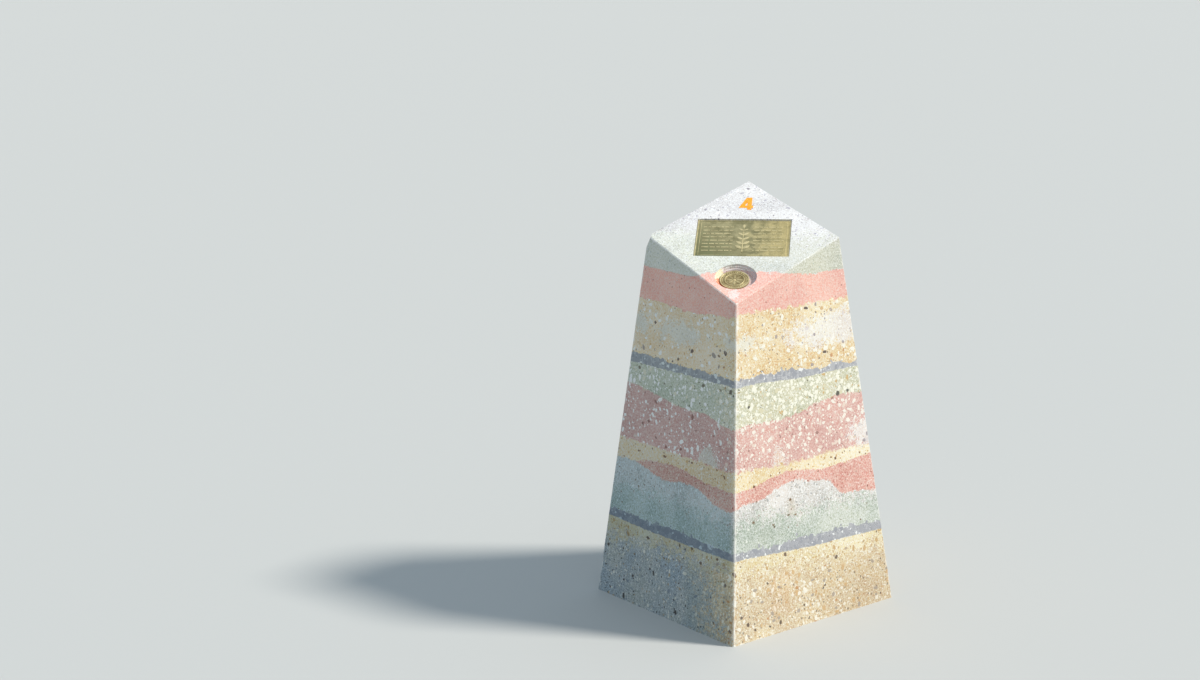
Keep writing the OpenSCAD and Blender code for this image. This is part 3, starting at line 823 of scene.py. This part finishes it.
def in_dish(measure):
    """Keeps a patch to the walls and the floor of the round recess."""
    def both(tree, found):
        up = times(tree, found["y"], math.cos(top_fall))
        rise = minus(tree, found["z"], slope_middle)
        up = times_plus(tree, rise, math.sin(top_fall), up)
        across = minus(tree, found["x"], dish_x)
        along = minus(tree, up, dish_up)
        square = times(tree, across, across)
        square = times_plus(tree, along, along, square)
        inside = minus(tree, dish_across / 2 + skin_deep, step(tree, "SQRT", square))
        under = minus(tree, under_slope(tree, found), skin_deep)
        inside = times(tree, step(tree, "MINIMUM", inside, under), 8)
        return step(tree, "MINIMUM", measure(tree, found), inside)
    return both


def everywhere(tree, found):
    """Takes in every point of a face."""
    return 1.0


# The walls of the round recess are painted lilac-grey all round as painted shade, with a darker
# painted shadow under the upper lip, a cream painted highlight at the left and a rust-red painted
# reflection of the lit rose wall below that
recess_shade_mix = dict(cap_green_mix, paste=(236, 223, 216), cloud=(222, 209, 203))
rose_recess_shade_mix = dict(rose_mix, paste=(228, 200, 194), cloud=(216, 188, 184))
lip_shadow_mix = dict(recess_shade_mix, paste=(198, 191, 180), cloud=(184, 178, 168))
cream_highlight_mix = dict(cap_white_mix, paste=(243, 234, 203), cloud=(236, 225, 192), speckle=0.2)
rose_glow_mix = dict(rose_mix, paste=(240, 160, 126), cloud=(230, 142, 108))
for bed, mix in ((rose, rose_recess_shade_mix), (cap_green, recess_shade_mix)):
    let_in(bed, mix, in_dish(everywhere), 0.002)
    let_in(bed, lip_shadow_mix, in_dish(within((-0.020, 0.764), 0.048, 0.026, 0.002)), 0.004)
    let_in(bed, cream_highlight_mix, in_dish(within((-0.049, 0.745), 0.032, 0.026, 0.002)), 0.002)
let_in(rose, rose_glow_mix, in_dish(within((-0.040, 0.724), 0.040, 0.026, 0.002)), 0.002)

# Numeral
# A plain figure painted on the white concrete between the plaque and the peak, in thick orange
# road paint laid on through a stencil. It is worn thin in places.
numeral_wide, numeral_high, paint_thick = 0.031, 0.046, 0.0004
numeral_x, numeral_up = -0.0005, 0.1195
stem_left, stem_right, stroke_lean, stroke_wide = 0.0185, 0.028, 0.016, 0.010
bar_foot, bar_head, bar_left, corner_round = 0.007, 0.0155, 0.004, 0.0012
paint_middle = 0.4 * paint_thick
merge_reach, spent_edge, smooth_under = 0.000002, 0.00001, math.radians(35)


def on_slope(x, up, out):
    """The place of a piece on the sloping top: to the right, up the slope and out of it."""
    return (Matrix.Translation((0, 0, slope_middle)) @ Matrix.Rotation(top_fall, 4, "X")
            @ Matrix.Translation((x, up, out)))


def let_go():
    """Deselects every piece."""
    bpy.ops.object.select_all(action="DESELECT")


def take_up(*pieces):
    """Selects these pieces and no others, with the first one active."""
    let_go()
    for piece in pieces:
        piece.select_set(True)
    bpy.context.view_layer.objects.active = pieces[0]


def edit_all():
    """Goes into edit mode on the active piece, with all of it selected."""
    bpy.ops.object.mode_set(mode="EDIT")
    bpy.ops.mesh.select_all(action="SELECT")


def set_down(piece, name, material):
    """Leaves a finished piece at the origin with its place in its mesh, riding on the block.
    Points that meet are merged, and every face looks outwards."""
    piece.data.materials.clear()
    piece.data.materials.append(material)
    take_up(piece)
    bpy.ops.object.transform_apply(location=True, rotation=True, scale=True)
    edit_all()
    bpy.ops.mesh.remove_doubles(threshold=merge_reach)
    bpy.ops.mesh.dissolve_degenerate(threshold=spent_edge)
    bpy.ops.mesh.normals_make_consistent(inside=False)
    bpy.ops.object.mode_set(mode="OBJECT")
    bpy.ops.object.shade_smooth_by_angle(angle=smooth_under)
    piece.name = name
    piece.data.name = name
    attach(piece, "root")


def pick_faces(piece, test):
    """Goes into edit mode with only the faces selected that pass a test."""
    bpy.context.view_layer.objects.active = piece
    bpy.ops.object.mode_set(mode="EDIT")
    bpy.ops.mesh.select_mode(type="FACE")
    bpy.ops.mesh.select_all(action="DESELECT")
    bpy.ops.object.mode_set(mode="OBJECT")
    for face in piece.data.polygons:
        face.select = test(face)
    bpy.ops.object.mode_set(mode="EDIT")


def looks_out(face):
    """Whether a face is turned up, out of the piece's front."""
    return face.normal.z > 0.9


def apply_step(piece, kind, **settings):
    """Adds a modifier to a piece, sets it and applies it."""
    bpy.context.view_layer.objects.active = piece
    bpy.ops.object.modifier_add(type=kind)
    added = piece.modifiers[-1]
    for name, value in settings.items():
        setattr(added, name, value)
    bpy.ops.object.modifier_apply(modifier=added.name)


def stroke(left, right, foot, head, lean=0.0):
    """One cut-out of the stencil, measured from the numeral's lower left corner. Its head leans
    over to the right."""
    middle = ((left + right - numeral_wide) / 2, (foot + head - numeral_high) / 2, 0)
    bpy.ops.mesh.primitive_cube_add(size=1, location=middle)
    piece = bpy.context.object
    piece.scale = (right - left, head - foot, paint_thick)
    bpy.ops.object.transform_apply(location=True, rotation=True, scale=True)
    pick_faces(piece, lambda face: face.normal.y > 0.9)
    bpy.ops.transform.translate(value=(lean, 0, 0))
    bpy.ops.object.mode_set(mode="OBJECT")
    return piece


let_go()
numeral = stroke(stem_left, stem_right, 0, numeral_high)
for other in (stroke(bar_left, numeral_wide, bar_foot, bar_head),
              stroke(0, stroke_wide, bar_foot, numeral_high, stroke_lean)):
    apply_step(numeral, "BOOLEAN", operation="UNION", object=other)
    bpy.data.objects.remove(other)
# Spare edges of the union go first, so that only the upright corners are left to round
edit_all()
bpy.ops.mesh.dissolve_limited(angle_limit=math.radians(1))
bpy.ops.mesh.select_mode(type="EDGE")
bpy.ops.mesh.select_all(action="DESELECT")
bpy.ops.object.mode_set(mode="OBJECT")
corners = numeral.data.vertices
for edge in numeral.data.edges:
    rises = [corners[end].co.z for end in edge.vertices]
    edge.select = abs(rises[0] - rises[1]) > paint_thick / 2
bpy.ops.object.mode_set(mode="EDIT")
bpy.ops.mesh.bevel(offset=corner_round, segments=3)
bpy.ops.mesh.select_all(action="SELECT")
bpy.ops.mesh.quads_convert_to_tris(quad_method="BEAUTY", ngon_method="BEAUTY")
bpy.ops.object.mode_set(mode="OBJECT")
numeral.matrix_world = on_slope(numeral_x, numeral_up, paint_middle)

numeral_paint, tree, shader = new_finish("orange_road_paint")
place = tree.nodes.new("ShaderNodeTexCoord").outputs["Object"]
brushed = span(tree, noise(tree, place, 0.006, 4), 0.35, 0.65)
rubbed = span(tree, noise(tree, place, 0.0035, 4), 0.62, 0.68)
coat = blend(tree, brushed, srgb(255, 158, 10), srgb(255, 180, 44))
coat = blend(tree, times(tree, rubbed, 0.7), coat, srgb(246, 216, 176))
feed(tree, coat, shader.inputs["Base Color"])
shader.inputs["Roughness"].default_value = 0.5
roughen(tree, shader, brushed, 0.0004)
set_down(numeral, "numeral", numeral_paint)

# Plaque
# A plate cast in brass, 200 by 134 mm, bedded in a square-edged recess in the white concrete.
# It has a raised border and a fine inner frame. A leaf sprig stands in the middle, between two
# columns of raised bars. The field has dulled to olive and the high spots are rubbed bright.
plaque_wide, plaque_high, plate_thick = 0.200, 0.134, 0.003
border_wide, border_high, border_slope = 0.003, 0.001, 0.0006
frame_gap, frame_wide, frame_rise, frame_slope = 0.0042, 0.0008, 0.0005, 0.0004
plaque_up, plaque_back, plaque_field = -0.006, -0.007, -0.004
bar_rows, bar_pitch, bar_high, bar_rise = 8, 0.0122, 0.0030, 0.0006
column_in, column_out, bar_gap = 0.0215, 0.0865, 0.0026
bar_short, bar_long, bar_edge, bar_seed = 0.004, 0.017, 0.0003, 4
leaf_long, leaf_wide, leaf_rise, leaf_facets = 0.020, 0.0085, 0.0008, 96
stem_long, stem_foot, stem_tip, stem_low = 0.088, 0.0013, 0.0005, 0.004
leaf_pairs, first_leaf, leaf_pitch, leaf_lean = 5, 0.036, 0.0165, math.radians(52)
leaf_shrink, end_leaf, end_leaf_gap = 0.09, 0.72, 0.002


def join_up(main, others):
    """Makes several pieces one, and leaves it selected."""
    take_up(main, *others)
    bpy.ops.object.join()


def copy_to(pattern, place, size=1.0):
    """One more casting from a pattern, with its own mesh."""
    piece = pattern.copy()
    piece.data = pattern.data.copy()
    bpy.context.collection.objects.link(piece)
    piece.matrix_world = place @ Matrix.Scale(size, 4)
    return piece


def make_leaf():
    """A pointed leaf, the overlap of two discs, with a raised blade sloping to its edge."""
    half_long, half_wide = leaf_long / 2, leaf_wide / 2
    disc = (half_long ** 2 + half_wide ** 2) / (2 * half_wide)
    pair = []
    for side in (-1, 1):
        bpy.ops.mesh.primitive_cylinder_add(vertices=leaf_facets, radius=disc, depth=leaf_rise,
                                            location=(side * (disc - half_wide), 0, 0))
        pair.append(bpy.context.object)
    leaf, other = pair
    apply_step(leaf, "BOOLEAN", operation="INTERSECT", object=other)
    bpy.data.objects.remove(other)
    take_up(leaf)
    bpy.ops.object.transform_apply(location=True, rotation=True, scale=True)
    pick_faces(leaf, looks_out)
    for narrower, shorter, higher in ((0.55, 0.86, 0.45), (0.25, 0.9, 0.15)):
        bpy.ops.mesh.extrude_region_move(
            TRANSFORM_OT_translate={"value": (0, 0, leaf_rise * higher)})
        bpy.ops.transform.resize(value=(narrower, shorter, 1))
    bpy.ops.object.mode_set(mode="OBJECT")
    return leaf


def step_in(*steps):
    """Steps the picked face inwards, each time over a width and up or down by a height."""
    for wide, high in steps:
        bpy.ops.mesh.inset(thickness=wide, depth=high)


let_go()
bpy.ops.mesh.primitive_cube_add(size=1)
plaque = bpy.context.object
plaque.scale = (plaque_wide, plaque_high, plate_thick + border_high)
bpy.ops.object.transform_apply(location=True, rotation=True, scale=True)
pick_faces(plaque, looks_out)
step_in((border_wide - border_slope, 0), (border_slope, -border_high), (frame_gap, 0),
        (frame_slope, frame_rise), (frame_wide, 0), (frame_slope, -frame_rise))
bpy.ops.object.mode_set(mode="OBJECT")
plaque.matrix_world = on_slope(0, plaque_up, (plaque_back + plaque_field + border_high) / 2)

# The bars of each row are as long as chance gives them, the same on every run
lengths = random.Random(bar_seed)
bars = []
for side in (-1, 1):
    for row in range(bar_rows):
        up = ((bar_rows - 1) / 2 - row) * bar_pitch
        start = column_in
        while start < column_out - bar_short:
            long = min(lengths.uniform(bar_short, bar_long), column_out - start)
            middle = start + long / 2 if side > 0 else -(column_out + column_in - start - long / 2)
            bpy.ops.mesh.primitive_cube_add(size=1)
            bar = bpy.context.object
            bar.matrix_world = (on_slope(middle, plaque_up + up, plaque_field)
                                @ Matrix.Diagonal((long, bar_high, 2 * bar_rise, 1)))
            bars.append(bar)
            start += long + bar_gap
join_up(bars[0], bars[1:])
bars = bars[0]
bpy.ops.object.transform_apply(location=True, rotation=True, scale=True)
apply_step(bars, "BEVEL", width=bar_edge, segments=1, limit_method="ANGLE")

leaf = make_leaf()
bpy.ops.mesh.primitive_cone_add(vertices=16, radius1=stem_foot, radius2=stem_tip, depth=stem_long)
stem = bpy.context.object
stem.matrix_world = (on_slope(0, plaque_up - stem_low, plaque_field)
                     @ Matrix.Rotation(-math.pi / 2, 4, "X"))
sprig = [stem]
out_along = Matrix.Translation((0, leaf_long / 2, 0))
for pair in range(leaf_pairs):
    foot = on_slope(0, plaque_up - first_leaf + pair * leaf_pitch, plaque_field)
    smaller = Matrix.Scale(1.0 - leaf_shrink * pair, 4)
    for side in (-1, 1):
        lean = Matrix.Rotation(-side * leaf_lean, 4, "Z")
        sprig.append(copy_to(leaf, foot @ lean @ smaller @ out_along))
end_up = plaque_up + stem_long / 2 + end_leaf_gap
sprig.append(copy_to(leaf, on_slope(0, end_up, plaque_field), end_leaf))
join_up(plaque, [bars, *sprig])


def slope_axes(tree):
    """A point's place on the sloping top: to the right, up the slope and out of it."""
    place = tree.nodes.new("ShaderNodeTexCoord").outputs["Object"]
    from_middle = vector_step(tree, "SUBTRACT", place, (0, 0, slope_middle))
    right = vector_step(tree, "DOT_PRODUCT", from_middle, (1, 0, 0))
    up = vector_step(tree, "DOT_PRODUCT", from_middle, (0, math.cos(top_fall), math.sin(top_fall)))
    out = vector_step(tree, "DOT_PRODUCT", from_middle, (0, -math.sin(top_fall), math.cos(top_fall)))
    return place, right, up, out


def brass_finish(name, field, high_spot, dull, clean, left_tint):
    """Cast brass that has dulled in the weather, bright where hands and boots rub it. The field
    and the high spots are heights out of the sloping top, and left_tint is how green its lower left has
    gone."""
    material, tree, shader = new_finish(name)
    place, right, up, out = slope_axes(tree)
    grime = span(tree, noise(tree, place, 0.016, 5), 0.36, 0.64)
    grit = span(tree, noise(tree, place, 0.0022, 3), 0.3, 0.7)
    raised = span(tree, out, field + 0.0001, high_spot)
    rubbed = times(tree, raised, span(tree, grime, 0, 1, 0.5, 1))
    # The right-hand side is brighter, from the feet that catch it and as a painted highlight, and the
    # lower left stays damp and green
    worn_side = span(tree, times_plus(tree, grime, 0.05, right), 0.03, 0.12)
    green_side = times_plus(tree, grime, -0.08, step(tree, "ADD", right, up))
    green_side = span(tree, green_side, -0.09, -0.17)
    colour = blend(tree, grime, srgb(*dull), srgb(*clean))
    colour = blend(tree, times(tree, green_side, left_tint), colour, srgb(96, 110, 74))
    colour = blend(tree, times(tree, worn_side, 0.65), colour, srgb(214, 198, 142))
    colour = blend(tree, rubbed, colour, srgb(232, 220, 172))
    colour = blend(tree, times(tree, grit, 0.3), colour, srgb(92, 84, 52))
    feed(tree, colour, shader.inputs["Base Color"])
    shader.inputs["Metallic"].default_value = 0.7
    feed(tree, span(tree, rubbed, 0, 1, 0.6, 0.36), shader.inputs["Roughness"])
    roughen(tree, shader, step(tree, "ADD", grit, grime), 0.0003, 0.7)
    return material


plaque_brass = brass_finish("plaque_brass", plaque_field, plaque_field + bar_rise,
                            (137, 135, 101), (178, 173, 136), 0.6)
set_down(plaque, "plaque_cast", plaque_brass)
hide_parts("plaque")

# Medallion
# A cast brass disc, 62 mm across, bedded on the floor of the stepped round recess. Inside its rim
# runs a string of beads, then a fine ring, and in the middle an eight-leaved rosette.
disc_wide, disc_thick, field_sunk, step_slope = 0.062, 0.004, 0.001, 0.0004
rim_wide, ring_across, ring_wide = 0.003, 0.040, 0.002
disc_x, disc_up, disc_back = -0.009, -0.14575, -0.0115
disc_top, disc_field = disc_back + disc_thick, disc_back + disc_thick - field_sunk
beads, bead_wide, bead_high, bead_round = 36, 0.0030, 1.8 * field_sunk, 0.0255
rosette_leaves, rosette_round, leaf_size = 8, 0.0105, 0.68
boss_wide, boss_high, rim_edge = 0.0060, 2 * field_sunk, 0.0002

let_go()
bpy.ops.mesh.primitive_cylinder_add(vertices=128, radius=disc_wide / 2, depth=disc_thick)
medallion = bpy.context.object
pick_faces(medallion, looks_out)
ring_out = ring_across / 2 + ring_wide / 2
step_in((rim_wide - step_slope, 0), (step_slope, -field_sunk),
        (disc_wide / 2 - rim_wide - ring_out, 0), (step_slope, field_sunk),
        (ring_wide - 2 * step_slope, 0), (step_slope, -field_sunk))
bpy.ops.object.mode_set(mode="OBJECT")
medallion.matrix_world = on_slope(disc_x, disc_up, disc_back + disc_thick / 2)
apply_step(medallion, "BEVEL", width=rim_edge, segments=2, limit_method="ANGLE",
           angle_limit=math.radians(60))

let_go()
bpy.ops.mesh.primitive_uv_sphere_add(segments=12, ring_count=8, radius=0.5)
dome = bpy.context.object
edit_all()
bpy.ops.mesh.bisect(plane_co=(0, 0, -0.1), plane_no=(0, 0, 1), clear_inner=True, use_fill=True)
bpy.ops.object.mode_set(mode="OBJECT")
seat = on_slope(disc_x, disc_up, disc_field)
bead_fit = Matrix.Diagonal((bead_wide, bead_wide, bead_high, 1))
leaf_fit = Matrix.Scale(leaf_size, 4)
boss_fit = Matrix.Diagonal((boss_wide, boss_wide, boss_high, 1))
relief = []
for pattern, count, reach, fit in ((dome, beads, (bead_round, 0, 0), bead_fit),
                                   (leaf, rosette_leaves, (0, rosette_round, 0), leaf_fit)):
    for number in range(count):
        around = Matrix.Rotation(2 * math.pi * number / count, 4, "Z")
        relief.append(copy_to(pattern, seat @ around @ Matrix.Translation(reach) @ fit))
relief.append(copy_to(dome, seat @ boss_fit))
join_up(medallion, relief)
for pattern in (dome, leaf):
    bpy.data.objects.remove(pattern)
# The medallion's brass is paler and browner than the plaque's: partly its own tone, partly painted light
# that makes up for the shade of its recess
medallion_brass = brass_finish("medallion_brass", disc_field, disc_top,
                               (142, 124, 86), (196, 180, 138), 0.15)
set_down(medallion, "medallion_cast", medallion_brass)
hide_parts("medallion")
